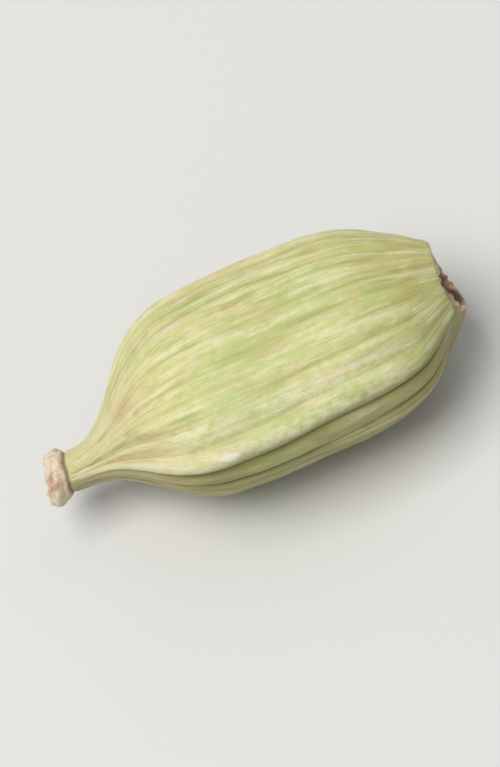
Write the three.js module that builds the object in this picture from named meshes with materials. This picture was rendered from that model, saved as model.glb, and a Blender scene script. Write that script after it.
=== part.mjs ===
// A dried green cardamom pod: one closed, unopened fruit, lying on its side.
//
// The pod is a long three-cornered capsule, as plump as it is tall, with soft lengthwise ribs. At one end
// it draws in to a short bent beak, which ends in the dry collar that the flower left, with a shallow cup
// in it. The other end is blunt, and has the round scar where the stalk broke off, which leans to face up,
// with a low lobe of husk behind it. It all grew as one piece, so it is one solid.
//
// Units are millimetres. The long axis lies along X, with the beak towards -X and the stalk scar towards
// +X, and +Z is up. The origin is under the middle of the pod, on the surface that it lies on.
//
// Stations are measured along the pod from the tip of the collar. Angles run round it in degrees, from
// straight up (0), by the front, -Y (90), to straight down (180). A stretch is a pair of numbers, where a
// change starts and where it is complete.

import * as THREE from "three";
import { ParametricGeometry } from "three/addons/geometries/ParametricGeometry.js";

// Driving dimensions.
const POD_LENGTH = 18.0;
const BELLY_RADIUS = 4.1;
const COLLAR_RADIUS = 1.03;
const NECK_RADIUS = 0.82;
const COLLAR_MOUTH = 0.22; // the station of the middle of the collar's leaning mouth
const CUP_DEPTH = 0.95;
const SCAR_STATION = 17.74; // the station of the middle of the leaning scar
const SCAR_RADIUS = 1.04;
const SCAR_DEPTH = 0.16;
const BEAK_DIP = 0.6; // how far the beak's end lies below the middle of the belly
const COLLAR_LEAN = 0.26; // how far the collar's mouth leans, as a slope
const SCAR_LEAN = 0.32; // how far the scar leans to face up, as a slope
const SCAR_OFFSET = 0.22; // how far the scar sits back, and as far up, from the middle of the belly
const REST_CUT = 0.4; // how much of the lowest ribs is pressed flat where the pod lies

// The outline from the bottom of the collar's cup, over its rim, along the body to the stalk scar, as
// pairs of a station and a radius.
const OUTLINE = [
  [COLLAR_MOUTH + CUP_DEPTH, 0],
  [COLLAR_MOUTH + CUP_DEPTH - 0.08, 0.42],
  [COLLAR_MOUTH + 0.3, 0.64],
  [COLLAR_MOUTH, 0.8],
  [COLLAR_MOUTH + 0.1, 0.97],
  [COLLAR_MOUTH + 0.42, COLLAR_RADIUS],
  [1.02, 0.87],
  [1.6, NECK_RADIUS],
  [2.3, 0.96],
  [3.05, 1.36],
  [3.85, 2.05],
  [4.65, 2.8],
  [5.55, 3.44],
  [6.65, 3.88],
  [8.0, 4.05],
  [9.6, BELLY_RADIUS],
  [11.4, BELLY_RADIUS - 0.02],
  [13.0, 4.03],
  [14.3, 3.82],
  [15.4, 3.38],
  [16.3, 2.7],
  [16.88, 2.14],
  [17.27, 1.76],
  [17.54, 1.4],
  [SCAR_STATION - 0.1, SCAR_RADIUS + 0.06],
  [SCAR_STATION, SCAR_RADIUS - 0.2],
  [SCAR_STATION - SCAR_DEPTH, 0.55],
  [SCAR_STATION - SCAR_DEPTH + 0.05, 0],
].map(([station, radius]) => new THREE.Vector2(station, radius));
const BEAK_WIDENS = [1.5, 4.8];
const COLLAR_LEAN_FADES = [0.6, 2.6];
const BLUNT_END = [10, 13];
const SCAR_SHIFTS = [15.5, 17.6];
const SCAR_LEAN_FADES = [1.05, 1.75]; // the radii over which the husk round the scar stops leaning with it

// The husk stands up in a low lobe behind the scar, and reaches out over it a little.
const LOBE_ANGLE = -50;
const LOBE_REACH = 75; // degrees to either side
const LOBE_HEIGHT = 0.23;
const LOBE_OVERHANG = 0.28;
const LOBE_RISES = [14.8, 17.2];
const LOBE_ENDS = [0.6, 1.8]; // the radii over which it comes down to the scar's rim

// The three valves of the fruit meet in three blunt corners. Each is raised by its share of the radius, and
// carries one rib whose crest stands up as a keel. The pod lies on the lowest, which is nearly round.
const CORNERS = [
  { angle: 58, swell: 0.095, keel: 0.2 },
  { angle: 178, swell: 0.015, keel: 0 },
  { angle: 298, swell: 0.075, keel: 0.16 },
];
const CORNER_REACH = 60; // degrees from a corner to the middle of a face
const CORNERS_RISE = [1.6, 5];
const KEELS_FADE = [13, 17.2];
const CORNERS_SOFTEN = [15, 17.4];
const CORNER_LEFT_AT_SCAR = 0.5;

// The ribs and the furrows between them. The first rib of each valve lies on its corner.
const RIBS_A_VALVE = 9;
const RIBS = RIBS_A_VALVE * CORNERS.length;
const RIB_ANGLE = 360 / RIBS;
const FURROW_DEPTH = 0.14;
const FURROW_DEPTH_CHANGES = [0.5, 1.6]; // the least and most that chance multiplies a furrow's depth by
const CORNER_FURROW_DEPTH = 0.22;
const CORNER_SIDE = [8, 18]; // degrees from a corner over which furrows go from corner depth to plain depth
const FURROW_SHIFT = 3.2; // degrees that chance moves a furrow to either side
const FURROW_SWAY = 2.2; // degrees that a furrow wanders on its way along
const CREST_BLUNTNESS = 0.55; // the power that rounds a rib's crest and narrows its furrows
const SEED = 41;

// The broad upper face, between the front and back corners, is smoother than the flanks. Its furrows, as
// pairs of an angle and a depth, leave a plain band along its middle.
const FACE_FURROWS = [
  [-52, 0.12],
  [-40, 0.06],
  [-30, 0.11],
  [-20, 0.05],
  [-10, 0.09],
  [6, 0.06],
  [20, 0.02],
  [35, 0.07],
  [50, 0.05],
];

// Some furrows run on down the beak and up to the scar. The others fade out before them.
const LONG_FURROW_EVERY = 3;
const LONG_FURROW_STARTS = [0.9, 2.2];
const LONG_FURROW_DEEPENS = [2, 5];
const LONG_SHARE_ON_BEAK = 0.45;
const LONG_FURROW_ENDS = [16.3, 17.5];
const SHORT_FURROW_STARTS = [2.4, 5.4];
const SHORT_FURROW_ENDS = [15.2, 17];

// The mesh's fineness: points across each rib, and rows from the cup to the scar. The first rows line the
// cup.
const POINTS_PER_RIB = 4;
const ROWS = 48;
const CUP_ROWS = [0.1, 0.2];

const { lerp, smoothstep, euclideanModulo, degToRad } = THREE.MathUtils;

// 0 before the stretch, 1 after it, and a smooth rise along it.
const rise = ([from, to], at) => smoothstep(at, from, to);

// The shortest way from one angle to another, from -180 to 180.
const turn = (from, to) => euclideanModulo(to - from + 180, 360) - 180;

// Returns a function that gives the same run of random numbers from 0 to 1 each time, by the plain Lehmer
// rule.
function makeDraw(seed) {
  const multiplier = 16807;
  const modulus = 2147483647;
  let state = seed;
  return () => {
    state = (state * multiplier) % modulus;
    return state / modulus;
  };
}

// The furrows of the flanks are spread evenly, moved a little by chance, and are deepest beside the corners.
// Furrow 0 is the upper face's last, next to the front corner.
function makeFurrows() {
  const draw = makeDraw(SEED);
  const firstOnFace = RIBS - FACE_FURROWS.length + 1;
  return Array.from({ length: RIBS }, (_, i) => {
    const even = CORNERS[0].angle + (i - 0.5) * RIB_ANGLE;
    const offCorner = Math.min(...CORNERS.map((corner) => Math.abs(turn(corner.angle, even))));
    const plain = FURROW_DEPTH * lerp(...FURROW_DEPTH_CHANGES, draw());
    const furrow = {
      angle: even + lerp(-FURROW_SHIFT, FURROW_SHIFT, draw()),
      depth: lerp(CORNER_FURROW_DEPTH, plain, rise(CORNER_SIDE, offCorner)),
      long: i % LONG_FURROW_EVERY === 0,
      sway: draw() * 360,
    };
    if (i === 0) {
      [furrow.angle, furrow.depth] = FACE_FURROWS.at(-1);
    } else if (i >= firstOnFace) {
      const [angle, depth] = FACE_FURROWS[i - firstOnFace];
      Object.assign(furrow, { angle: angle + 360, depth });
    }
    return furrow;
  });
}
const furrows = makeFurrows();

// The depth of furrow i at a station.
function furrowDepth(i, station) {
  const { depth, long } = furrows[i % RIBS];
  if (long) {
    const onBeak = lerp(LONG_SHARE_ON_BEAK, 1, rise(LONG_FURROW_DEEPENS, station));
    return depth * rise(LONG_FURROW_STARTS, station) * onBeak * (1 - rise(LONG_FURROW_ENDS, station));
  }
  return depth * rise(SHORT_FURROW_STARTS, station) * (1 - rise(SHORT_FURROW_ENDS, station));
}

// The angle of furrow i, which sways a little on its way along. Furrow RIBS is furrow 0, one turn on.
function furrowAngle(i, station) {
  const { angle, sway } = furrows[i % RIBS];
  const turns = Math.floor(i / RIBS) * 360;
  return angle + turns + FURROW_SWAY * Math.sin((station / POD_LENGTH) * 2 * Math.PI + degToRad(sway));
}

// How far a rib stands above the plain ones.
function keelHeight(rib, station) {
  if (rib % RIBS_A_VALVE !== 0) return 0;
  const { keel } = CORNERS[rib / RIBS_A_VALVE];
  return keel * rise(CORNERS_RISE, station) * (1 - rise(KEELS_FADE, station));
}

// How strongly the corners show at a station. The beak and the scar are rounder than the belly.
function cornered(station) {
  return rise(CORNERS_RISE, station) * lerp(1, CORNER_LEFT_AT_SCAR, rise(CORNERS_SOFTEN, station));
}

// What the three corners multiply the plain radius by.
function cornerSwell(angle, station) {
  const swell = CORNERS.reduce((sum, corner) => {
    const off = Math.min(Math.abs(turn(corner.angle, angle)), CORNER_REACH);
    return sum + corner.swell * Math.cos((off / CORNER_REACH) * Math.PI);
  }, 0);
  const beyondReach = CORNERS.reduce((sum, corner) => sum + corner.swell, 0) * (2 / 3);
  return 1 + cornered(station) * (swell + beyondReach);
}

// How strongly the lobe behind the scar shows, from 0 to 1.
function scarLobe(angle, station, radius) {
  const off = Math.min(Math.abs(turn(LOBE_ANGLE, angle)) / LOBE_REACH, 1);
  const across = (1 + Math.cos(Math.PI * off)) / 2;
  return across * rise(LOBE_RISES, station) * rise(LOBE_ENDS, radius);
}

// A point of the surface. around runs once round the pod, with each rib its equal share, and along runs
// from the bottom of the cup to the middle of the scar.
const outline = new THREE.SplineCurve(OUTLINE);
function podPoint(around, along, target) {
  const { x: station, y: radius } = outline.getPoint(along);
  const rib = Math.min(Math.floor(around * RIBS), RIBS - 1);
  const across = around * RIBS - rib;
  const angle = lerp(furrowAngle(rib, station), furrowAngle(rib + 1, station), across);
  const crest = Math.sin(Math.PI * across);
  const outside = rise(CUP_ROWS, along);
  const depth = lerp(furrowDepth(rib, station), furrowDepth(rib + 1, station), across) * outside;
  const raised = keelHeight(rib, station) * crest;
  const lobe = scarLobe(angle, station, radius);
  const plain = radius * cornerSwell(angle, station) + LOBE_HEIGHT * lobe;
  const r = plain + raised - depth * (1 - crest ** CREST_BLUNTNESS);
  const front = r * Math.sin(degToRad(angle));
  const up = r * Math.cos(degToRad(angle));
  const lean = COLLAR_LEAN * (1 - rise(COLLAR_LEAN_FADES, station)) * front;
  const scarLean = SCAR_LEAN * rise(BLUNT_END, station) * (1 - rise(SCAR_LEAN_FADES, radius)) * up;
  const dip = BEAK_DIP * (1 - rise(BEAK_WIDENS, station));
  const shift = SCAR_OFFSET * rise(SCAR_SHIFTS, station);
  return target.set(station - lean - scarLean + LOBE_OVERHANG * lobe, shift - front, up - dip + shift);
}

// The whole pod, set down: what is lower than the surface it lies on is pressed flat, and its middle is
// over the origin.
function podGeometry() {
  const geometry = new ParametricGeometry(podPoint, RIBS * POINTS_PER_RIB, ROWS);
  geometry.computeBoundingBox();
  const { min, max } = geometry.boundingBox;
  geometry.translate(-(min.x + max.x) / 2, -(min.y + max.y) / 2, -(min.z + REST_CUT));
  const position = geometry.getAttribute("position");
  for (let i = 0; i < position.count; i++) {
    position.setZ(i, Math.max(position.getZ(i), 0));
  }
  geometry.computeVertexNormals();
  return geometry;
}

const huskMaterial = new THREE.MeshStandardMaterial({
  name: "dry_green_husk",
  color: new THREE.Color().setRGB(0.55, 0.57, 0.25, THREE.LinearSRGBColorSpace),
  roughness: 0.62,
  metalness: 0,
});

const pod = new THREE.Mesh(podGeometry(), huskMaterial);
pod.name = "pod";

const cardamom = new THREE.Group();
cardamom.name = "green_cardamom_pod";
cardamom.add(pod);

export default cardamom;
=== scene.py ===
# A dried green cardamom pod, lying on a plain pale floor.
#
# The pod's form is worked out in millimetres by the same rules as the part's source. It is given its fine
# wrinkles, its ragged collar and its torn stalk scar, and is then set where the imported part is, in metres.
# The long axis lies along X, with the beak towards -X and the scar towards +X.
#
# Stations are measured along the pod from the tip of the collar. Angles run round it in degrees, from
# straight up (0), by the front, -Y (90), to straight down (180). A stretch is a pair of numbers, where a
# change starts and where it is complete.

import math
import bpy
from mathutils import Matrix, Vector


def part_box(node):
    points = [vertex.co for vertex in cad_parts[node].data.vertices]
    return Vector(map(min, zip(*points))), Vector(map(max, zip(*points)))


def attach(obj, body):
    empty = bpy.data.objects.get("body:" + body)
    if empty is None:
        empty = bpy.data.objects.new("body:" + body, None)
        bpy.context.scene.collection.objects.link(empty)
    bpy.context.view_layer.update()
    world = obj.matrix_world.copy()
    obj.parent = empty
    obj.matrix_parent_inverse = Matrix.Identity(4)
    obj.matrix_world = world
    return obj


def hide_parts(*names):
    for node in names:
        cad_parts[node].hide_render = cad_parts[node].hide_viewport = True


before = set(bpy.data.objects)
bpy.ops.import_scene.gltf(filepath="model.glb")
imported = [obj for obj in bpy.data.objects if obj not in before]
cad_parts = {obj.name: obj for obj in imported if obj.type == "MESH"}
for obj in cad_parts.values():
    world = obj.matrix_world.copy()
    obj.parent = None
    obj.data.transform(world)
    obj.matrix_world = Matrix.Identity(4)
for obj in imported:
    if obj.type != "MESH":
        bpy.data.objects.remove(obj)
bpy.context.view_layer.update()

from types import SimpleNamespace

import bpy
import numpy as np
from mathutils import Matrix, Vector

MM = 0.001

# The pod's driving dimensions, in millimetres.
POD_LENGTH = 18.0
BELLY_RADIUS = 4.1
COLLAR_RADIUS = 1.03
NECK_RADIUS = 0.82
COLLAR_MOUTH = 0.22  # the station of the middle of the collar's leaning mouth
CUP_DEPTH = 0.95
SCAR_STATION = 17.74  # the station of the middle of the leaning scar
SCAR_RADIUS = 1.04
SCAR_DEPTH = 0.16
BEAK_DIP = 0.6  # how far the beak's end lies below the middle of the belly
COLLAR_LEAN = 0.26  # how far the collar's mouth leans, as a slope
SCAR_LEAN = 0.32  # how far the scar leans to face up, as a slope
SCAR_OFFSET = 0.22  # how far the scar sits back, and as far up, from the middle of the belly
REST_CUT = 0.4  # how much of the lowest ribs is pressed flat where the pod lies

# The outline from the bottom of the collar's cup, over its rim, along the body to the middle of the scar.
OUTLINE = [
    (COLLAR_MOUTH + CUP_DEPTH, 0),
    (COLLAR_MOUTH + CUP_DEPTH - 0.08, 0.42),
    (COLLAR_MOUTH + 0.3, 0.64),
    (COLLAR_MOUTH, 0.8),
    (COLLAR_MOUTH + 0.1, 0.97),
    (COLLAR_MOUTH + 0.42, COLLAR_RADIUS),
    (1.02, 0.87),
    (1.6, NECK_RADIUS),
    (2.3, 0.96),
    (3.05, 1.36),
    (3.85, 2.05),
    (4.65, 2.8),
    (5.55, 3.44),
    (6.65, 3.88),
    (8.0, 4.05),
    (9.6, BELLY_RADIUS),
    (11.4, BELLY_RADIUS - 0.02),
    (13.0, 4.03),
    (14.3, 3.82),
    (15.4, 3.38),
    (16.3, 2.7),
    (16.88, 2.14),
    (17.27, 1.76),
    (17.54, 1.4),
    (SCAR_STATION - 0.1, SCAR_RADIUS + 0.06),
    (SCAR_STATION, SCAR_RADIUS - 0.2),
    (SCAR_STATION - SCAR_DEPTH, 0.55),
    (SCAR_STATION - SCAR_DEPTH + 0.05, 0),
]
RIM_POINT = 3  # the outline's point on the collar's rim
SCAR_POINT = len(OUTLINE) - 3  # its point on the scar's rim
BEAK_WIDENS = (1.5, 4.8)
COLLAR_LEAN_FADES = (0.6, 2.6)
BLUNT_END = (10, 13)
SCAR_SHIFTS = (15.5, 17.6)
SCAR_LEAN_FADES = (1.05, 1.75)  # the radii over which the husk round the scar stops leaning with it

# The husk stands up in a low lobe behind the scar, and reaches out over it a little.
LOBE_ANGLE = -50
LOBE_REACH = 75  # degrees to either side
LOBE_HEIGHT = 0.23
LOBE_OVERHANG = 0.28
LOBE_RISES = (14.8, 17.2)
LOBE_ENDS = (0.6, 1.8)  # the radii over which it comes down to the scar's rim

# The three corners, as an angle, a share of the radius and a keel's height.
KEEL_HEIGHT = 0.2
CORNERS = [(58, 0.095, KEEL_HEIGHT), (178, 0.015, 0), (298, 0.075, 0.16)]
CORNER_REACH = 60
CORNERS_RISE = (1.6, 5)
KEELS_FADE = (13, 17.2)
CORNERS_SOFTEN = (15, 17.4)
CORNER_LEFT_AT_SCAR = 0.5

# The ribs and the furrows between them.
RIBS_A_VALVE = 9
RIBS = RIBS_A_VALVE * len(CORNERS)
RIB_ANGLE = 360 / RIBS
FURROW_DEPTH = 0.14
FURROW_DEPTH_CHANGES = (0.5, 1.6)
CORNER_FURROW_DEPTH = 0.22
CORNER_SIDE = (8, 18)
FURROW_SHIFT = 3.2
FURROW_SWAY = 2.2
CREST_BLUNTNESS = 0.55
SEED = 41
FACE_FURROWS = [
    (-52, 0.12),
    (-40, 0.06),
    (-30, 0.11),
    (-20, 0.05),
    (-10, 0.09),
    (6, 0.06),
    (20, 0.02),
    (35, 0.07),
    (50, 0.05),
]
LONG_FURROW_EVERY = 3
LONG_FURROW_STARTS = (0.9, 2.2)
LONG_FURROW_DEEPENS = (2, 5)
LONG_SHARE_ON_BEAK = 0.45
LONG_FURROW_ENDS = (16.3, 17.5)
SHORT_FURROW_STARTS = (2.4, 5.4)
SHORT_FURROW_ENDS = (15.2, 17)
CUP_ROWS = (0.1, 0.2)

# The fineness of the finished mesh.
COLUMNS_PER_RIB = 17
ROWS = 214
CLOSER_ROWS_TO_COLLAR = (1.2, 2.2)
CLOSER_ROWS_TO_SCAR = (16.8, 17.4)


# Numbers that vary along and round the pod.


def lerp(start, end, share):
    return start + (end - start) * share


def rise(stretch, at):
    """0 before the stretch, 1 after it, and a smooth rise along it."""
    start, end = stretch
    share = np.clip((at - start) / (end - start), 0, 1)
    return share * share * (3 - 2 * share)


def turn(start, end):
    """The shortest way from one angle to another, from -180 to 180."""
    return (end - start + 180) % 360 - 180


def draws(seed):
    """The same run of random numbers from 0 to 1 each time, by the plain Lehmer rule."""
    multiplier = 16807
    modulus = 2147483647
    state = seed
    while True:
        state = state * multiplier % modulus
        yield state / modulus


# The plain form, as in the part's source.


def outline_at(place):
    """The station and radius at places along the outline, on a uniform Catmull-Rom curve."""
    points = np.array(OUTLINE, float)
    last = len(points) - 1
    first = np.clip(np.floor(place * last).astype(int), 0, last - 1)
    share = (place * last - first)[:, None]
    before = points[np.maximum(first - 1, 0)]
    start = points[first]
    end = points[first + 1]
    after = points[np.minimum(first + 2, last)]
    leaving = (end - before) / 2
    arriving = (after - start) / 2
    cubic = 2 * start - 2 * end + leaving + arriving
    square = 3 * end - 3 * start - 2 * leaving - arriving
    return ((cubic * share + square) * share + leaving) * share + start


def spread_rows(count):
    """Places along the outline for the rows, evenly spaced, but much closer on the collar and the scar."""
    place = np.linspace(0, 1, 6000)
    points = outline_at(place)
    steps = np.linalg.norm(np.diff(points, axis=0), axis=1)
    middle = (points[1:, 0] + points[:-1, 0]) / 2
    closeness = 4 - 3 * rise(CLOSER_ROWS_TO_COLLAR, middle) + 2 * rise(CLOSER_ROWS_TO_SCAR, middle)
    length = np.concatenate([[0], np.cumsum(steps * closeness)])
    return np.interp(np.linspace(0, length[-1], count), length, place)


def make_furrows():
    """The angle, depth and sway of each furrow, and whether it is a long one."""
    draw = draws(SEED)
    first_on_face = RIBS - len(FACE_FURROWS) + 1
    furrows = []
    for i in range(RIBS):
        even = CORNERS[0][0] + (i - 0.5) * RIB_ANGLE
        off_corner = min(abs(turn(corner[0], even)) for corner in CORNERS)
        plain = FURROW_DEPTH * lerp(*FURROW_DEPTH_CHANGES, next(draw))
        angle = even + lerp(-FURROW_SHIFT, FURROW_SHIFT, next(draw))
        depth = lerp(CORNER_FURROW_DEPTH, plain, rise(CORNER_SIDE, off_corner))
        sway = next(draw) * 360
        if i == 0:
            angle, depth = FACE_FURROWS[-1]
        elif i >= first_on_face:
            angle, depth = FACE_FURROWS[i - first_on_face]
            angle += 360
        furrows.append((angle, depth, i % LONG_FURROW_EVERY == 0, sway))
    return furrows


FURROWS = make_furrows()


def furrow_depth(i, station):
    _, depth, is_long, _ = FURROWS[i % RIBS]
    if is_long:
        on_beak = lerp(LONG_SHARE_ON_BEAK, 1, rise(LONG_FURROW_DEEPENS, station))
        return depth * rise(LONG_FURROW_STARTS, station) * on_beak * (1 - rise(LONG_FURROW_ENDS, station))
    return depth * rise(SHORT_FURROW_STARTS, station) * (1 - rise(SHORT_FURROW_ENDS, station))


def furrow_angle(i, station):
    angle, _, _, sway = FURROWS[i % RIBS]
    turns = i // RIBS * 360
    return angle + turns + FURROW_SWAY * np.sin(station / POD_LENGTH * 2 * np.pi + np.radians(sway))


def keel_height(rib, station):
    if rib % RIBS_A_VALVE:
        return 0 * station
    height = CORNERS[rib // RIBS_A_VALVE][2]
    return height * rise(CORNERS_RISE, station) * (1 - rise(KEELS_FADE, station))


def corner_swell(angle, station):
    """What the three corners multiply the plain radius by."""
    cornered = rise(CORNERS_RISE, station) * lerp(1, CORNER_LEFT_AT_SCAR, rise(CORNERS_SOFTEN, station))
    swell = sum(corner[1] for corner in CORNERS) * 2 / 3
    for corner_angle, share, _ in CORNERS:
        off = np.minimum(np.abs(turn(corner_angle, angle)), CORNER_REACH)
        swell = swell + share * np.cos(off / CORNER_REACH * np.pi)
    return 1 + cornered * swell


def scar_lobe(angle, station, radius):
    """How strongly the lobe behind the scar shows, from 0 to 1."""
    off = np.minimum(np.abs(turn(LOBE_ANGLE, angle)) / LOBE_REACH, 1)
    across = (1 + np.cos(np.pi * off)) / 2
    return across * rise(LOBE_RISES, station) * rise(LOBE_ENDS, radius)


class Skin:
    """The pod's surface as a grid of rows from the cup to the scar and columns round it, in millimetres."""

    def __init__(self, rows, columns_per_rib):
        self.place = spread_rows(rows)
        points = outline_at(self.place)
        self.station = np.repeat(points[:, :1], RIBS * columns_per_rib, axis=1)
        self.radius = np.repeat(points[:, 1:], RIBS * columns_per_rib, axis=1)
        self.row = (self.place * (len(OUTLINE) - 1))[:, None] + 0 * self.station
        self.outside = rise(CUP_ROWS, self.place)[:, None]
        self.angle = np.zeros_like(self.station)
        self.furrow = np.zeros_like(self.station)
        self.crest = np.zeros_like(self.station)
        self.raised = np.zeros_like(self.station)
        self.rib_place = np.zeros_like(self.station)
        for rib in range(RIBS):
            self.shape_rib(rib, columns_per_rib)
        self.lobe = scar_lobe(self.angle, self.station, self.radius)
        self.sunk = self.furrow * (1 - self.crest**CREST_BLUNTNESS)
        plain = self.radius * corner_swell(self.angle, self.station) + LOBE_HEIGHT * self.lobe
        self.reach = plain + self.raised * self.crest - self.sunk
        self.along = self.station / POD_LENGTH
        self.around = self.angle / 360 % 1

    def shape_rib(self, rib, columns_per_rib):
        columns = slice(rib * columns_per_rib, (rib + 1) * columns_per_rib)
        across = np.arange(columns_per_rib)[None, :] / columns_per_rib
        station = self.station[:, columns]
        self.angle[:, columns] = lerp(furrow_angle(rib, station), furrow_angle(rib + 1, station), across)
        depth = lerp(furrow_depth(rib, station), furrow_depth(rib + 1, station), across)
        self.furrow[:, columns] = depth * self.outside
        self.crest[:, columns] = np.sin(np.pi * across)
        self.raised[:, columns] = keel_height(rib, station)
        self.rib_place[:, columns] = rib + across

    def patches(self, seed, lines, lengths):
        """Smooth random patches from -1 to 1, with so many of them round the pod and so many along it."""
        values = np.random.default_rng(seed).uniform(-1, 1, (lengths + 2, lines))
        column = self.around * lines
        row = np.clip(self.along, 0, 1) * lengths
        left = np.floor(column).astype(int)
        near = np.floor(row).astype(int)
        across = rise((0, 1), column - left)
        down = rise((0, 1), row - near)
        upper = lerp(values[near, left % lines], values[near, (left + 1) % lines], across)
        lower = lerp(values[near + 1, left % lines], values[near + 1, (left + 1) % lines], across)
        return lerp(upper, lower, down)

    def lobes(self, seed, count):
        """The same, but drawn out all along the pod, with so many of them round it."""
        values = np.random.default_rng(seed).uniform(-1, 1, count)
        column = self.around * count
        left = np.floor(column).astype(int)
        return lerp(values[left % count], values[(left + 1) % count], rise((0, 1), column - left))

    def points(self, proud=0, forward=0):
        """The surface's points, with their reach and station changed by the given amounts."""
        reach = self.reach + proud
        front = reach * np.sin(np.radians(self.angle))
        up = reach * np.cos(np.radians(self.angle))
        lean = COLLAR_LEAN * (1 - rise(COLLAR_LEAN_FADES, self.station)) * front
        leans = rise(BLUNT_END, self.station) * (1 - rise(SCAR_LEAN_FADES, self.radius))
        dip = BEAK_DIP * (1 - rise(BEAK_WIDENS, self.station))
        x = self.station + forward - lean - SCAR_LEAN * leans * up + LOBE_OVERHANG * self.lobe
        shift = SCAR_OFFSET * rise(SCAR_SHIFTS, self.station)
        return np.stack([x, shift - front, up - dip + shift], axis=-1)


# The fine detail: how far it stands out or in, in millimetres, and the stations where it starts and ends.
# A pair of heights or depths is for the upper face and for the flanks.
FRONT_KEEL = 0.5  # the crests of the keels, counted in ribs round the pod
BACK_KEEL = 2 * RIBS_A_VALVE + 0.5
KEEL_SIDE = 0.3
STRIATION_HEIGHTS = (0.024, 0.044)
STRIATIONS_START = (1.1, 4)
STRIATIONS_END = (16.6, 17.5)
FINE_FURROW_DEPTHS = (0.018, 0.06)
FINE_FURROWS_START = (2.2, 5)
FINE_FURROWS_END = (16.4, 17.5)
FINE_FURROW_NARROWNESS = 4
WRINKLE_HEIGHT = 0.006
TIGHT_WRINKLES_ADD = 0.008
WRINKLES_START = (1.1, 1.9)
WRINKLES_LOOSEN = (2.5, 6.5)
WRINKLES_TIGHTEN = (14.5, 17)
WRINKLES_END = (17.0, 17.5)
FOLD_BASE = 0.6  # the height on a fold, from 0 to 1, that lies at the plain surface
NECK_FOLD_DEPTH = 0.075
NECK_FOLDS_DEEPEN = (0.5, 1.3)  # what the depth is multiplied by above and below
NECK_FOLDS_START = (1.0, 1.6)
NECK_FOLDS_END = (3.4, 6.4)
NECK_FRONT = (0, 70)  # the angles where the folds deepen, on the way down the beak's front
NECK_BACK = (200, 300)  # and those where they grow shallow again, on the way up its back
SCAR_PUCKER_DEPTH = 0.08
SCAR_PUCKERS_START = (15.4, 16.8)
SCAR_PUCKERS_END = (17.2, 17.6)
SEED_SWELL_HEIGHT = 0.05
SEED_SWELLS_START = (3, 6)
SEED_SWELLS_END = (15, 17)
COLLAR_ENDS = (0.85, 1.15)
COLLAR_SWELL = 0.02
COLLAR_LUMP_HEIGHT = 0.08
COLLAR_KNOB_HEIGHT = 0.035
COLLAR_CRUMB_HEIGHT = 0.014
GROOVE_STATION = 1.1
GROOVE_DEPTH = 0.1
GROOVE_WIDTH = 0.075
GROOVE_WANDER = 0.05
COLLAR_RIM_ENDS = (0.3, 0.8)
COLLAR_LOBE_LENGTH = 0.08
COLLAR_TOOTH_LENGTH = 0.06
CUP_NUB_HEIGHT = 0.42
SCAR_RIM_STARTS = (16.9, 17.5)
SCAR_RIM_FLARE = 0.1

# Radii over which the detail grows from nothing, outwards from the axis.
COLLAR_WALL = (0.2, 0.6)
GROOVE_WALL = (0.5, 0.7)
COLLAR_RIM = (0.5, 0.75)
SCAR_RIM = (0.5, 1.0)
CUP_NUB = (0.06, 0.3)

# The scar's broken surface, along the pod. Its floor starts just inside the outline's point on the rim.
SCAR_FLOOR_STARTS = (SCAR_POINT, SCAR_POINT + 0.6)
SCAR_FLOOR_SINKS = 0.1
SCAR_RIM_HEIGHT = 0.04
SCAR_LOBE_HEIGHT = 0.13
SCAR_TOOTH_HEIGHT = 0.08
SCAR_CRUMBS = 34
SCAR_CRUMB_WIDTHS = (0.06, 0.16)
SCAR_CRUMB_HEIGHTS = (-0.12, 0.12)
SCAR_CRUMBS_REACH = 0.95


def flankness(skin):
    """0 on the broad upper face and 1 beyond the crests of the keels on both its sides."""
    past_front_keel = rise((FRONT_KEEL, FRONT_KEEL + KEEL_SIDE), skin.rib_place)
    return past_front_keel * (1 - rise((BACK_KEEL - KEEL_SIDE, BACK_KEEL), skin.rib_place))


def striations(skin):
    """The fine fibres that run along the husk between and over the ribs, stronger on the flanks."""
    height = lerp(*STRIATION_HEIGHTS, flankness(skin)) * rise(STRIATIONS_START, skin.station)
    fibres = 0.6 * skin.patches(11, 74, 7) + 0.5 * skin.patches(12, 142, 11)
    return height * (1 - rise(STRIATIONS_END, skin.station)) * fibres


def fine_furrows(skin):
    """Narrow creases that part each rib into threads, deeper on the flanks."""
    depth = lerp(*FINE_FURROW_DEPTHS, flankness(skin)) * rise(FINE_FURROWS_START, skin.station)
    line = 1 - np.abs(skin.patches(13, 58, 6))
    return -depth * line**FINE_FURROW_NARROWNESS * (1 - rise(FINE_FURROWS_END, skin.station))


def wrinkles(skin):
    """Small wrinkles across the ribs, drawn tight near the beak and the scar."""
    tight = 1 - rise(WRINKLES_LOOSEN, skin.station) + rise(WRINKLES_TIGHTEN, skin.station)
    height = WRINKLE_HEIGHT + TIGHT_WRINKLES_ADD * np.clip(tight, 0, 1)
    shown = rise(WRINKLES_START, skin.station) * (1 - rise(WRINKLES_END, skin.station))
    return height * shown * skin.patches(31, 44, 60)


def neck_folds(skin):
    """Sharp lengthwise folds where the husk gathers into the beak, deepest on its lower side."""
    gathered = rise(NECK_FOLDS_START, skin.station) * (1 - rise(NECK_FOLDS_END, skin.station))
    low = rise(NECK_FRONT, skin.angle % 360) * (1 - rise(NECK_BACK, skin.angle % 360))
    folds = 1 - np.abs(skin.patches(41, 30, 5))
    return NECK_FOLD_DEPTH * gathered * lerp(*NECK_FOLDS_DEEPEN, low) * (folds - FOLD_BASE)


def scar_puckers(skin):
    """Creases that run in to the scar."""
    gathered = rise(SCAR_PUCKERS_START, skin.station) * (1 - rise(SCAR_PUCKERS_END, skin.station))
    creases = 1 - np.abs(skin.patches(51, 44, 7))
    return SCAR_PUCKER_DEPTH * gathered * (creases - FOLD_BASE)


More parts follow.
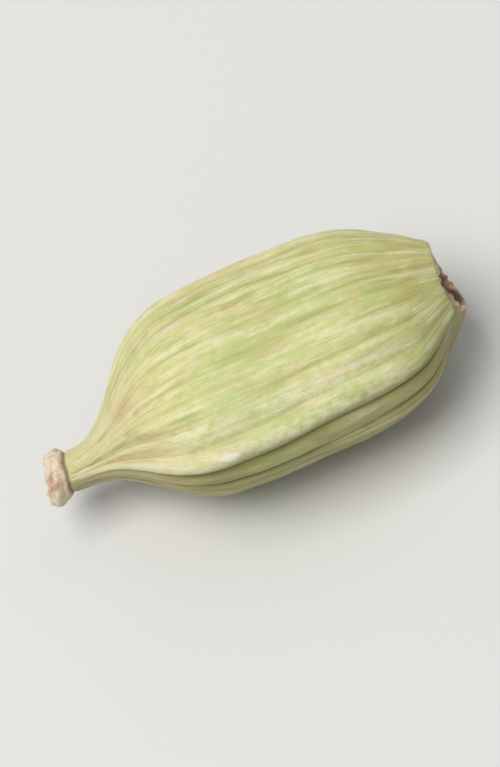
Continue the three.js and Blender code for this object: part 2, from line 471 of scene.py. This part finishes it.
def seed_swells(skin):
    """Broad low swellings where the rows of seeds press on the husk."""
    swells = skin.patches(21, 9, 7) + 0.5 * skin.patches(22, 17, 12)
    shown = rise(SEED_SWELLS_START, skin.station) * (1 - rise(SEED_SWELLS_END, skin.station))
    return SEED_SWELL_HEIGHT * swells * shown


def collar_lumps(skin):
    """The dry collar's uneven thickness."""
    lumps = COLLAR_LUMP_HEIGHT * skin.patches(61, 9, 60)
    knobs = COLLAR_KNOB_HEIGHT * skin.patches(62, 25, 150)
    crumbs = COLLAR_CRUMB_HEIGHT * skin.patches(66, 61, 320)
    on_collar = (1 - rise(COLLAR_ENDS, skin.station)) * rise(COLLAR_WALL, skin.radius)
    return on_collar * (lumps + knobs + crumbs + COLLAR_SWELL)


def collar_groove(skin):
    """The narrow groove between the collar and the neck."""
    off = (skin.station - GROOVE_STATION - GROOVE_WANDER * skin.lobes(65, 12)) / GROOVE_WIDTH
    return -GROOVE_DEPTH * np.exp(-(off**2)) * rise(GROOVE_WALL, skin.radius)


def scar_flare(skin):
    """How far the scar's rim stands out or in from a true circle."""
    near = rise(SCAR_RIM_STARTS, skin.station) * rise(SCAR_RIM, skin.radius)
    return SCAR_RIM_FLARE * near * skin.lobes(74, 9)


def collar_rags(skin):
    """How far the collar's torn rim stands forward or back, along the pod."""
    on_rim = (1 - rise(COLLAR_RIM_ENDS, skin.station)) * rise(COLLAR_RIM, skin.radius)
    return on_rim * (COLLAR_LOBE_LENGTH * skin.lobes(63, 11) + COLLAR_TOOTH_LENGTH * skin.lobes(64, 31))


def cup_nub(skin):
    """The shrunken stub in the collar's cup."""
    in_cup = 1 - rise((RIM_POINT - 1, RIM_POINT), skin.row)
    return -CUP_NUB_HEIGHT * in_cup * (1 - rise(CUP_NUB, skin.radius))


def scar_crumbs(skin):
    """The heights of the crumbs and pits of the scar's broken floor."""
    side = skin.radius * np.sin(np.radians(skin.angle))
    up = skin.radius * np.cos(np.radians(skin.angle))
    floor = 0.0 * side
    draw = draws(73)
    for _ in range(SCAR_CRUMBS):
        reach = SCAR_CRUMBS_REACH * math.sqrt(next(draw))
        angle = next(draw) * 2 * math.pi
        width = lerp(*SCAR_CRUMB_WIDTHS, next(draw))
        height = lerp(*SCAR_CRUMB_HEIGHTS, next(draw))
        off = (side - reach * math.sin(angle)) ** 2 + (up - reach * math.cos(angle)) ** 2
        floor = floor + height * np.exp(-off / width**2)
    return floor * rise(SCAR_FLOOR_STARTS, skin.row)


def scar_surface(skin):
    """The broken scar's ragged rim and its rough, sunk floor, along the pod."""
    up_to_rim = rise((SCAR_POINT - 1.6, SCAR_POINT - 0.2), skin.row)
    on_rim = up_to_rim * (1 - rise((SCAR_POINT, SCAR_POINT + 0.9), skin.row))
    rags = SCAR_LOBE_HEIGHT * skin.lobes(71, 7) + SCAR_TOOTH_HEIGHT * skin.lobes(72, 29) + SCAR_RIM_HEIGHT
    return on_rim * rags - SCAR_FLOOR_SINKS * rise(SCAR_FLOOR_STARTS, skin.row) + scar_crumbs(skin)


# The marks that stand out on the husk, and a painted glint, each as a station, an angle, a half length and a
# half width.
MARKS = {
    "tan_marks": [
        (4.75, 37, 0.22, 0.16),
        (4.2, -4, 0.6, 0.35),
        (13.1, -40, 0.3, 0.25),
        (9.4, -22, 0.35, 0.12),
        (6.3, 150, 0.5, 0.2),
        (11.8, 232, 0.35, 0.25),
        (8.3, 262, 0.25, 0.18),
    ],
    "rust_marks": [
        (0.7, 49, 0.2, 0.17),
        (0.62, 196, 0.22, 0.2),
        (0.8, 301, 0.14, 0.22),
    ],
    "cream_marks": [
        (6.6, 44, 2.4, 0.55),
        (10.8, 45, 3.4, 0.45),
        (17.62, -35, 0.2, 0.3),
        (9.5, 170, 3.0, 0.3),
    ],
    "pale_marks_and_glint": [
        # The first is a painted glint on the front keel; the rest are pale marks of the husk.
        (7.55, 58, 0.45, 0.13),
        (7.0, -27, 1.0, 0.14),
        (12.6, 42, 1.6, 0.12),
        (10.2, 206, 1.2, 0.14),
        (6.4, 286, 0.9, 0.12),
    ],
    "keel_glint_marks": [
        # A painted glint: a near white spot on the front keel.
        (7.15, 59, 0.5, 0.17),
    ],
    "green_marks": [
        (11.6, 6, 1.9, 0.1),
        (12.7, -3, 1.1, 0.1),
        (9.0, 12, 1.4, 0.3),
        (8.0, 222, 1.6, 0.14),
        (12.0, 140, 1.7, 0.12),
    ],
}
MARK_UNEVENNESS = 0.35


def marks(skin, places):
    """1 in the middle of each mark and 0 beyond it, with a soft uneven edge."""
    shown = 0.0 * skin.station
    uneven = 1 + MARK_UNEVENNESS * skin.patches(81, 90, 60)
    for station, angle, half_length, half_width in places:
        along = (skin.station - station) / half_length
        across = np.radians(turn(angle, skin.angle)) * skin.radius / half_width
        shown = np.maximum(shown, np.exp(-uneven * (along**2 + across**2)))
    return shown


# Building the pod's mesh.


def grid_faces(rows, columns):
    """The four-sided faces of a grid that closes on itself round the pod."""
    first = np.arange(rows - 1)[:, None] * columns
    column = np.arange(columns)[None, :]
    beside = (column + 1) % columns
    corners = [first + column, first + columns + column, first + columns + beside, first + beside]
    return np.stack(corners, axis=-1).reshape(-1, 4)


def closed_mesh(name, points):
    """A mesh from rows of points, whose first and last rows are drawn together into single points."""
    rows, columns, _ = points.shape
    inner = points[1:-1].reshape(-1, 3)
    ends = [points[0].mean(axis=0), points[-1].mean(axis=0)]
    faces = grid_faces(rows - 2, columns).tolist()
    start = len(inner)
    last_row = (rows - 3) * columns
    for column in range(columns):
        beside = (column + 1) % columns
        faces.append([start, column, beside])
        faces.append([start + 1, last_row + beside, last_row + column])
    mesh = bpy.data.meshes.new(name)
    mesh.from_pydata(np.vstack([inner, ends]).tolist(), [], faces)
    mesh.validate()
    mesh.shade_smooth()
    return mesh


def record_field(mesh, name, grid):
    """Keeps a number of every point of the grid on the mesh, for the materials."""
    values = np.concatenate([grid[1:-1].ravel(), [grid[0].mean(), grid[-1].mean()]])
    numbers = mesh.attributes.new(name, "FLOAT", "POINT")
    numbers.data.foreach_set("value", values.astype(np.float32))


def record_vector(mesh, name, grid):
    flat = np.vstack([grid[1:-1].reshape(-1, 3), [grid[0].mean(axis=0), grid[-1].mean(axis=0)]])
    vectors = mesh.attributes.new(name, "FLOAT_VECTOR", "POINT")
    vectors.data.foreach_set("vector", flat.astype(np.float32).ravel())


def place_on_part(points, plain):
    """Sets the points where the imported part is: over the origin, and pressed flat on the floor."""
    low = plain.reshape(-1, 3).min(axis=0)
    high = plain.reshape(-1, 3).max(axis=0)
    placed = points - [(low[0] + high[0]) / 2, (low[1] + high[1]) / 2, low[2] + REST_CUT]
    placed[..., 2] = np.maximum(placed[..., 2], 0)
    return placed * MM


# The fields of numbers that the colours follow.
GRAIN_RADIUS = 4  # the radius at which the husk's fibres are spaced
FULL_RELIEF = 0.03
FULL_SCAR_CRUMB = 0.1
UNDERSIDE_STARTS = (92, 118)
UNDERSIDE_ENDS = (235, 262)
COLLAR_COLOUR_ENDS = (0.98, 1.12)
CUP_COLOUR_ENDS = (RIM_POINT - 1.2, RIM_POINT - 0.2)
SCAR_COLOUR_STARTS = (SCAR_POINT - 1.2, SCAR_POINT - 0.5)
SCAR_CORE_STARTS = (SCAR_POINT + 0.1, SCAR_POINT + 0.8)
TORN_EDGE_WANDER = 0.35


def record_fields(mesh, skin, relief, groove):
    """Keeps on the mesh the coordinates, forms and marks that the colours follow."""
    turned = np.radians(skin.angle)
    grain = np.stack([skin.station, GRAIN_RADIUS * np.cos(turned), GRAIN_RADIUS * np.sin(turned)], axis=-1)
    record_vector(mesh, "grain", grain)
    spot = np.stack([skin.station, skin.radius * np.cos(turned), skin.radius * np.sin(turned)], axis=-1)
    record_vector(mesh, "spot", spot)
    under = skin.angle % 360
    torn_row = skin.row + TORN_EDGE_WANDER * skin.lobes(75, 15)
    fields = {
        "crest": skin.crest,
        "furrow": skin.sunk / FURROW_DEPTH,
        "relief": relief / FULL_RELIEF,
        "flank": flankness(skin),
        "keel": skin.raised / KEEL_HEIGHT * skin.crest**3,
        "underside": rise(UNDERSIDE_STARTS, under) * (1 - rise(UNDERSIDE_ENDS, under)),
        "station": skin.station,
        "collar": 1 - rise(COLLAR_COLOUR_ENDS, skin.station),
        "groove": -groove / GROOVE_DEPTH,
        "cup": 1 - rise(CUP_COLOUR_ENDS, skin.row),
        "scar": rise(SCAR_COLOUR_STARTS, torn_row),
        "scar_crumbs": scar_crumbs(skin) / FULL_SCAR_CRUMB,
        "scar_core": rise(SCAR_CORE_STARTS, torn_row),
    }
    for name, grid in fields.items():
        record_field(mesh, name, grid)
    for name, places in MARKS.items():
        record_field(mesh, name, marks(skin, places))


def make_pod():
    skin = Skin(ROWS, COLUMNS_PER_RIB)
    relief = striations(skin) + fine_furrows(skin) + wrinkles(skin) + neck_folds(skin) + scar_puckers(skin)
    groove = collar_groove(skin)
    proud = relief + seed_swells(skin) + collar_lumps(skin) + groove + scar_flare(skin)
    forward = collar_rags(skin) + cup_nub(skin) + scar_surface(skin)
    mesh = closed_mesh("pod_husk", place_on_part(skin.points(proud, forward), skin.points()))
    record_fields(mesh, skin, relief, groove)
    mesh.materials.append(husk_material())
    pod = bpy.data.objects.new("pod_husk", mesh)
    bpy.context.collection.objects.link(pod)
    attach(pod, "root")
    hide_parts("pod")


# Shader maths.


class Value:
    """A number that varies over a surface: one output of a node, which + - and * add Math nodes to."""

    def __init__(self, recipe, socket):
        self.recipe = recipe
        self.socket = socket

    def math(self, operation, *inputs):
        values = dict(enumerate(inputs))
        return Value(self.recipe, self.recipe.node("ShaderNodeMath", {"operation": operation}, values))

    def __add__(self, other):
        return self.math("ADD", self, other)

    def __sub__(self, other):
        return self.math("SUBTRACT", self, other)

    def __rsub__(self, other):
        return self.math("SUBTRACT", other, self)

    def __mul__(self, other):
        return self.math("MULTIPLY", self, other)

    __radd__ = __add__
    __rmul__ = __mul__


class Recipe:
    """One material's nodes."""

    def __init__(self, name):
        self.material = bpy.data.materials.new(name)
        self.material.use_nodes = True
        self.tree = self.material.node_tree
        self.shader = self.tree.nodes["Principled BSDF"]

    def node(self, kind, settings, inputs, output=0):
        """Adds a node with its settings and the values or links of its inputs, and returns one output."""
        node = self.tree.nodes.new(kind)
        for setting, value in settings.items():
            setattr(node, setting, value)
        for socket, value in inputs.items():
            self.feed(node.inputs[socket], value)
        return node.outputs[output]

    def feed(self, socket, value):
        if isinstance(value, Value):
            value = value.socket
        if isinstance(value, bpy.types.NodeSocket):
            self.tree.links.new(value, socket)
        else:
            socket.default_value = value

    def field(self, name):
        """A number kept on the mesh."""
        settings = {"attribute_type": "GEOMETRY", "attribute_name": name}
        return Value(self, self.node("ShaderNodeAttribute", settings, {}, "Fac"))

    def vector(self, name):
        """A vector kept on the mesh."""
        settings = {"attribute_type": "GEOMETRY", "attribute_name": name}
        return self.node("ShaderNodeAttribute", settings, {}, "Vector")

    def grain(self, along, across=1.0):
        """The husk's own coordinates, closer together along and across the fibres by these shares."""
        inputs = {0: self.vector("grain"), 1: (along, across, across)}
        return self.node("ShaderNodeVectorMath", {"operation": "MULTIPLY"}, inputs)

    def noise(self, coordinates, scale, detail=2.0, roughness=0.5):
        inputs = {"Vector": coordinates, "Scale": scale, "Detail": detail, "Roughness": roughness}
        return Value(self, self.node("ShaderNodeTexNoise", {}, inputs, "Fac"))

    def spots(self, coordinates, scale):
        """Two numbers of scattered cells: the distance from each cell's middle, and the cell's own draw."""
        inputs = {"Vector": coordinates, "Scale": scale}
        distance = self.node("ShaderNodeTexVoronoi", {}, inputs, "Distance")
        cell_colour = distance.node.outputs["Color"]
        draw = self.node("ShaderNodeSeparateColor", {}, {"Color": cell_colour}, "Red")
        return Value(self, distance), Value(self, draw)

    def rise(self, value, start, end):
        """0 where the value is below start, 1 above end, and smooth between."""
        inputs = {"Value": value, "From Min": start, "From Max": end}
        return Value(self, self.node("ShaderNodeMapRange", {"interpolation_type": "SMOOTHSTEP"}, inputs))

    def mix(self, under, over, share):
        """One colour over another, by a share."""
        inputs = {0: share, 6: under, 7: over}
        return self.node("ShaderNodeMix", {"data_type": "RGBA"}, inputs, 2)

    def bump(self, height, distance, strength=1.0, normal=None):
        inputs = {"Height": height, "Distance": distance, "Strength": strength}
        if normal is not None:
            inputs["Normal"] = normal
        return self.node("ShaderNodeBump", {}, inputs)


def paint(red, green, blue):
    return (red, green, blue, 1.0)


# The husk's colours, as linear light.
GREEN = paint(0.50, 0.55, 0.21)
DEEP_GREEN = paint(0.33, 0.42, 0.10)
STRAW = paint(0.69, 0.62, 0.30)
CREAM = paint(0.79, 0.77, 0.54)
# The near white of the painted glint.
GLINT_WHITE = paint(0.88, 0.87, 0.80)
DULL_YELLOW = paint(0.47, 0.41, 0.11)
OLIVE = paint(0.30, 0.29, 0.08)
# Dark olive, used for the flanks' own tone and for painted shade on them.
DARK_OLIVE_AND_PAINTED_SHADE = paint(0.17, 0.15, 0.04)
TAN = paint(0.55, 0.37, 0.16)
BLUSH = paint(0.76, 0.60, 0.45)
COLLAR_DUST = paint(0.81, 0.68, 0.53)
COLLAR_RUST = paint(0.52, 0.25, 0.10)
BARK = paint(0.16, 0.09, 0.045)
# Near black, for painted shade in hollows and pits.
PAINTED_SHADE_BLACK = paint(0.045, 0.03, 0.02)
SCAR_RED = paint(0.12, 0.052, 0.03)
SCAR_TAN = paint(0.50, 0.32, 0.18)

# The stations where the beak's colours end and the scar's start.
BEAK_COLOURS_END = (2.0, 7.5)
SCAR_COLOURS_START = (12.6, 17.0)


def husk_patterns(recipe):
    """What the husk's colours follow: its own form, and noise drawn out along the fibres."""
    station = recipe.field("station")
    return SimpleNamespace(
        crest=recipe.field("crest"),
        furrow=recipe.field("furrow"),
        relief=recipe.field("relief"),
        flank=recipe.field("flank"),
        toward_beak=1 - recipe.rise(station, *BEAK_COLOURS_END),
        toward_scar=recipe.rise(station, *SCAR_COLOURS_START),
        broad=recipe.noise(recipe.grain(0.3), 0.55),
        threads=recipe.noise(recipe.grain(0.06), 3.4, 3.0, 0.6),
        mottle=recipe.noise(recipe.grain(0.6), 4.0, 5.0, 0.68),
    )


def fibre_colour(recipe, husk):
    """Green and straw in long fibres and small blotches, duller towards the scar."""
    straw = husk.broad * 0.5 + husk.threads * 0.35 + husk.mottle * 0.6 + husk.toward_beak * 0.24
    colour = recipe.mix(GREEN, STRAW, recipe.rise(straw, 0.6, 0.95))
    blotches = recipe.noise(recipe.grain(0.4), 2.3, 3.0, 0.6)
    colour = recipe.mix(colour, BLUSH, recipe.rise(blotches, 0.54, 0.70) * 0.48)
    colour = recipe.mix(colour, DEEP_GREEN, recipe.rise(blotches, 0.46, 0.32) * 0.36)
    pale_threads = recipe.noise(recipe.grain(0.07), 6.0)
    pale = recipe.rise(pale_threads + husk.mottle * 0.4 + husk.crest * 0.08, 0.72, 0.92)
    colour = recipe.mix(colour, CREAM, pale * 0.42)
    colour = recipe.mix(colour, CREAM, husk.toward_beak * 0.07)
    dull = recipe.rise(recipe.noise(recipe.grain(0.6), 1.5, 4.0, 0.65), 0.4, 0.62)
    colour = recipe.mix(colour, DULL_YELLOW, husk.toward_scar * (dull * 0.55 + 0.16))
    dark_threads = recipe.noise(recipe.grain(0.08), 4.6)
    colour = recipe.mix(colour, OLIVE, recipe.rise(dark_threads + husk.mottle * 0.25, 0.68, 0.86) * 0.42)
    streaks = recipe.noise(recipe.grain(0.09), 1.7)
    return recipe.mix(colour, DEEP_GREEN, recipe.rise(streaks, 0.58, 0.72) * 0.4)


def creased_colour(recipe, husk, colour):
    """Olive and tan in the furrows and creases, partly their own tone and partly painted shade, and cream on
    the fine ridges.
    """
    crease_kind = recipe.rise(recipe.noise(recipe.grain(0.2), 0.9), 0.42, 0.6)
    crease_tone_and_shade = recipe.mix(OLIVE, TAN, crease_kind)
    # Partly painted shade: the deeper a furrow or a fine crease, the darker it is painted, more so towards
    # the beak.
    colour = recipe.mix(colour, crease_tone_and_shade, recipe.rise(husk.furrow, 0.1, 0.9) * 0.55)
    crease = recipe.rise(-1 * husk.relief, 0.15, 1.1) * (husk.flank * 0.08 + husk.toward_beak * 0.2 + 0.42)
    colour = recipe.mix(colour, crease_tone_and_shade, crease)
    return recipe.mix(colour, CREAM, recipe.rise(husk.relief, 0.2, 1.0) * 0.35)


def marked_colour(recipe, husk, colour):
    """Small tan flecks, and the larger cream, green and tan marks."""
    distance, draw = recipe.spots(recipe.grain(0.7), 0.8)
    fleck = (1 - recipe.rise(distance + husk.mottle * 0.2, 0.16, 0.24)) * recipe.rise(draw, 0.76, 0.8)
    colour = recipe.mix(colour, TAN, fleck * 0.6)
    cream = recipe.field("cream_marks") * recipe.rise(husk.mottle, 0.3, 0.6)
    colour = recipe.mix(colour, CREAM, cream * 0.4)
    colour = recipe.mix(colour, DEEP_GREEN, recipe.field("green_marks") * 0.6)
    return recipe.mix(colour, TAN, recipe.field("tan_marks") * 0.65)


def flank_colour(recipe, husk, colour):
    """The same husk with painted shade on the flanks, over their own darker olive tone, and browner
    underneath.
    """
    # Partly the flanks' darker olive tone and partly painted shade, strongest near the beak and the scar.
    shaded = recipe.mix(colour, DARK_OLIVE_AND_PAINTED_SHADE, husk.toward_beak * 0.18 + husk.toward_scar * 0.28 + 0.34)
    turned_under = recipe.field("underside") * recipe.rise(husk.broad + husk.threads * 0.3, 0.45, 0.75)
    return recipe.mix(shaded, TAN, turned_under * 0.18)


def husk_colour(recipe):
    """The husk from its fibres up: creases and flanks, darker partly by painted shade, marks, keels with
    wear and a painted highlight, the palest marks and a painted glint.
    """
    husk = husk_patterns(recipe)
    colour = fibre_colour(recipe, husk)
    colour = creased_colour(recipe, husk, colour)
    colour = marked_colour(recipe, husk, colour)
    # The flanks' darker tone with their painted shade.
    colour = recipe.mix(colour, flank_colour(recipe, husk, colour), husk.flank)
    # Cream along the crests of the keels: partly wear and partly a painted highlight.
    keel_wear_and_highlight = recipe.rise(husk.mottle + husk.threads * 0.4, 0.5, 0.8)
    colour = recipe.mix(colour, CREAM, recipe.field("keel") * keel_wear_and_highlight * 0.55)
    # The pale marks, the first of them a painted glint on the front keel.
    colour = recipe.mix(colour, BLUSH, recipe.field("pale_marks_and_glint") * 0.7)
    # A painted glint, near white, on the front keel.
    glint = recipe.rise(recipe.field("keel_glint_marks") * 0.8 + husk.mottle * 0.8, 0.7, 1.1)
    return recipe.mix(colour, GLINT_WHITE, glint * 0.85)


def collar_colour(recipe):
    """Dusty tan with rust patches."""
    patchy = recipe.noise(recipe.vector("spot"), 1.8, 4.0, 0.65)
    colour = recipe.mix(COLLAR_DUST, COLLAR_RUST, recipe.rise(patchy, 0.48, 0.68) * 0.7)
    crumbs = recipe.noise(recipe.vector("spot"), 6.0, 4.0, 0.7)
    colour = recipe.mix(colour, CREAM, recipe.rise(crumbs, 0.52, 0.7) * 0.5)
    colour = recipe.mix(colour, TAN, recipe.rise(crumbs, 0.46, 0.34) * 0.35)
    specks = recipe.noise(recipe.vector("spot"), 11.0, 3.0, 0.6)
    colour = recipe.mix(colour, BARK, recipe.rise(specks, 0.60, 0.72) * 0.35)
    return recipe.mix(colour, COLLAR_RUST, recipe.field("rust_marks") * 0.75)


def scar_colour(recipe):
    """A dark red-brown core in torn tan tissue, with painted shade in the core's pits."""
    crumbs = recipe.noise(recipe.vector("spot"), 3.4, 5.0, 0.7)
    torn = recipe.mix(SCAR_TAN, BLUSH, recipe.rise(crumbs, 0.46, 0.68))
    torn = recipe.mix(torn, BARK, recipe.rise(crumbs, 0.46, 0.32) * 0.5)
    torn = recipe.mix(torn, CREAM, recipe.field("cream_marks") * 0.8)
    height = recipe.field("scar_crumbs") * 0.6 + crumbs * 1.8
    core = recipe.mix(SCAR_RED, SCAR_TAN, recipe.rise(height, 1.0, 1.7) * 0.6)
    # Painted shade: near black where the broken floor is lowest.
    core = recipe.mix(core, PAINTED_SHADE_BLACK, recipe.rise(height, 0.76, 0.3) * 0.7)
    return recipe.mix(torn, core, recipe.field("scar_core"))


def husk_material():
    recipe = Recipe("dry_green_husk")
    colour = husk_colour(recipe)
    colour = recipe.mix(colour, collar_colour(recipe), recipe.field("collar"))
    colour = recipe.mix(colour, BARK, recipe.field("groove") * 0.8)
    # Painted shade: near black inside the collar's cup.
    colour = recipe.mix(colour, PAINTED_SHADE_BLACK, recipe.field("cup") * 0.85)
    colour = recipe.mix(colour, scar_colour(recipe), recipe.field("scar"))
    recipe.feed(recipe.shader.inputs["Base Color"], colour)
    fibres = recipe.noise(recipe.grain(0.06), 7.0, 4.0, 0.65)
    pores = recipe.noise(recipe.grain(0.6), 9.0, 4.0, 0.7)
    creases = recipe.noise(recipe.grain(1.6, 0.5), 2.2, 3.0, 0.6)
    rough = recipe.rise(fibres * 0.5 + pores * 0.5, 0.3, 0.7) * 0.22 + 0.46
    recipe.feed(recipe.shader.inputs["Roughness"], rough)
    normal = recipe.bump(creases, 0.03 * MM, 0.6)
    normal = recipe.bump(fibres, 0.06 * MM, 0.9, normal)
    normal = recipe.bump(pores, 0.02 * MM, 0.7, normal)
    recipe.feed(recipe.shader.inputs["Normal"], normal)
    recipe.feed(recipe.shader.inputs["Subsurface Weight"], 0.1)
    recipe.feed(recipe.shader.inputs["Subsurface Radius"], (1.0, 0.8, 0.35))
    recipe.feed(recipe.shader.inputs["Subsurface Scale"], 0.3 * MM)
    recipe.feed(recipe.shader.inputs["Sheen Weight"], 0.05)
    recipe.feed(recipe.shader.inputs["Sheen Roughness"], 0.5)
    return recipe.material


# The camera. It faces the pod's side, and is turned so that the blunt end is high, as in the photograph.
# The photograph doesn't show how far it looks down on the pod, so that angle is a guess.
CAMERA_ELEVATION = 60
CAMERA_ROLL = 23.7
LENS = 180
FRAME_HEIGHT_TO_WIDTH = 767 / 500
POD_SHARE_OF_WIDTH = 0.86


def make_camera(low, high):
    elevation = math.radians(CAMERA_ELEVATION)
    roll = math.radians(CAMERA_ROLL)
    back = Vector((0, -math.cos(elevation), math.sin(elevation)))
    along = Vector((1, 0, 0))
    level_up = Vector((0, math.sin(elevation), math.cos(elevation)))
    right = along * math.cos(roll) - level_up * math.sin(roll)
    up = along * math.sin(roll) + level_up * math.cos(roll)
    data = bpy.data.cameras.new("camera")
    data.lens = LENS
    data.clip_start = MM
    length = high.x - low.x
    depth = high.y - low.y
    seen_width = math.hypot(length * math.cos(roll), depth * math.sin(roll)) / POD_SHARE_OF_WIDTH
    sensor_width = data.sensor_width / FRAME_HEIGHT_TO_WIDTH
    distance = seen_width * LENS / sensor_width
    camera = bpy.data.objects.new("camera", data)
    facing = Matrix((right, up, back)).transposed().to_4x4()
    camera.matrix_world = Matrix.Translation((low + high) / 2 + back * distance) @ facing
    bpy.context.collection.objects.link(camera)
    bpy.context.scene.camera = camera


# The floor, the light and the air.
FLOOR_SIZE = 2.0
PALE_GREY = paint(0.66, 0.66, 0.645)
SOFTBOX_SIZE = 0.2
SOFTBOX_DISTANCE = 0.3
KEY_POWER = 0.82
FILL_POWER = 0.08
SKY_STRENGTH = 0.36
WARM_WHITE = (1.0, 0.985, 0.95)
COOL_WHITE = (0.97, 0.98, 1.0)


def make_floor():
    bpy.ops.mesh.primitive_plane_add(size=FLOOR_SIZE, location=(0, 0, 0))
    floor = bpy.context.object
    floor.name = "floor"
    recipe = Recipe("pale_floor")
    recipe.feed(recipe.shader.inputs["Base Color"], PALE_GREY)
    recipe.feed(recipe.shader.inputs["Roughness"], 0.85)
    floor.data.materials.append(recipe.material)


def add_softbox(name, towards, power, colour):
    """A square area light that shines on the pod from a direction."""
    data = bpy.data.lights.new(name, "AREA")
    data.size = SOFTBOX_SIZE
    data.energy = power
    data.color = colour
    light = bpy.data.objects.new(name, data)
    direction = Vector(towards).normalized()
    light.location = direction * SOFTBOX_DISTANCE
    light.rotation_euler = direction.to_track_quat("Z", "Y").to_euler()
    bpy.context.collection.objects.link(light)


def make_light():
    add_softbox("key", (-0.3, -0.06, 0.92), KEY_POWER, WARM_WHITE)
    add_softbox("fill", (0.5, 0.5, 0.9), FILL_POWER, COOL_WHITE)
    world = bpy.data.worlds.new("studio_air")
    world.use_nodes = True
    background = world.node_tree.nodes["Background"]
    background.inputs["Color"].default_value = paint(*COOL_WHITE)
    background.inputs["Strength"].default_value = SKY_STRENGTH
    bpy.context.scene.world = world
    bpy.context.scene.view_settings.view_transform = "Standard"


pod_low, pod_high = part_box("pod")
make_camera(pod_low, pod_high)
make_pod()
make_floor()
make_light()
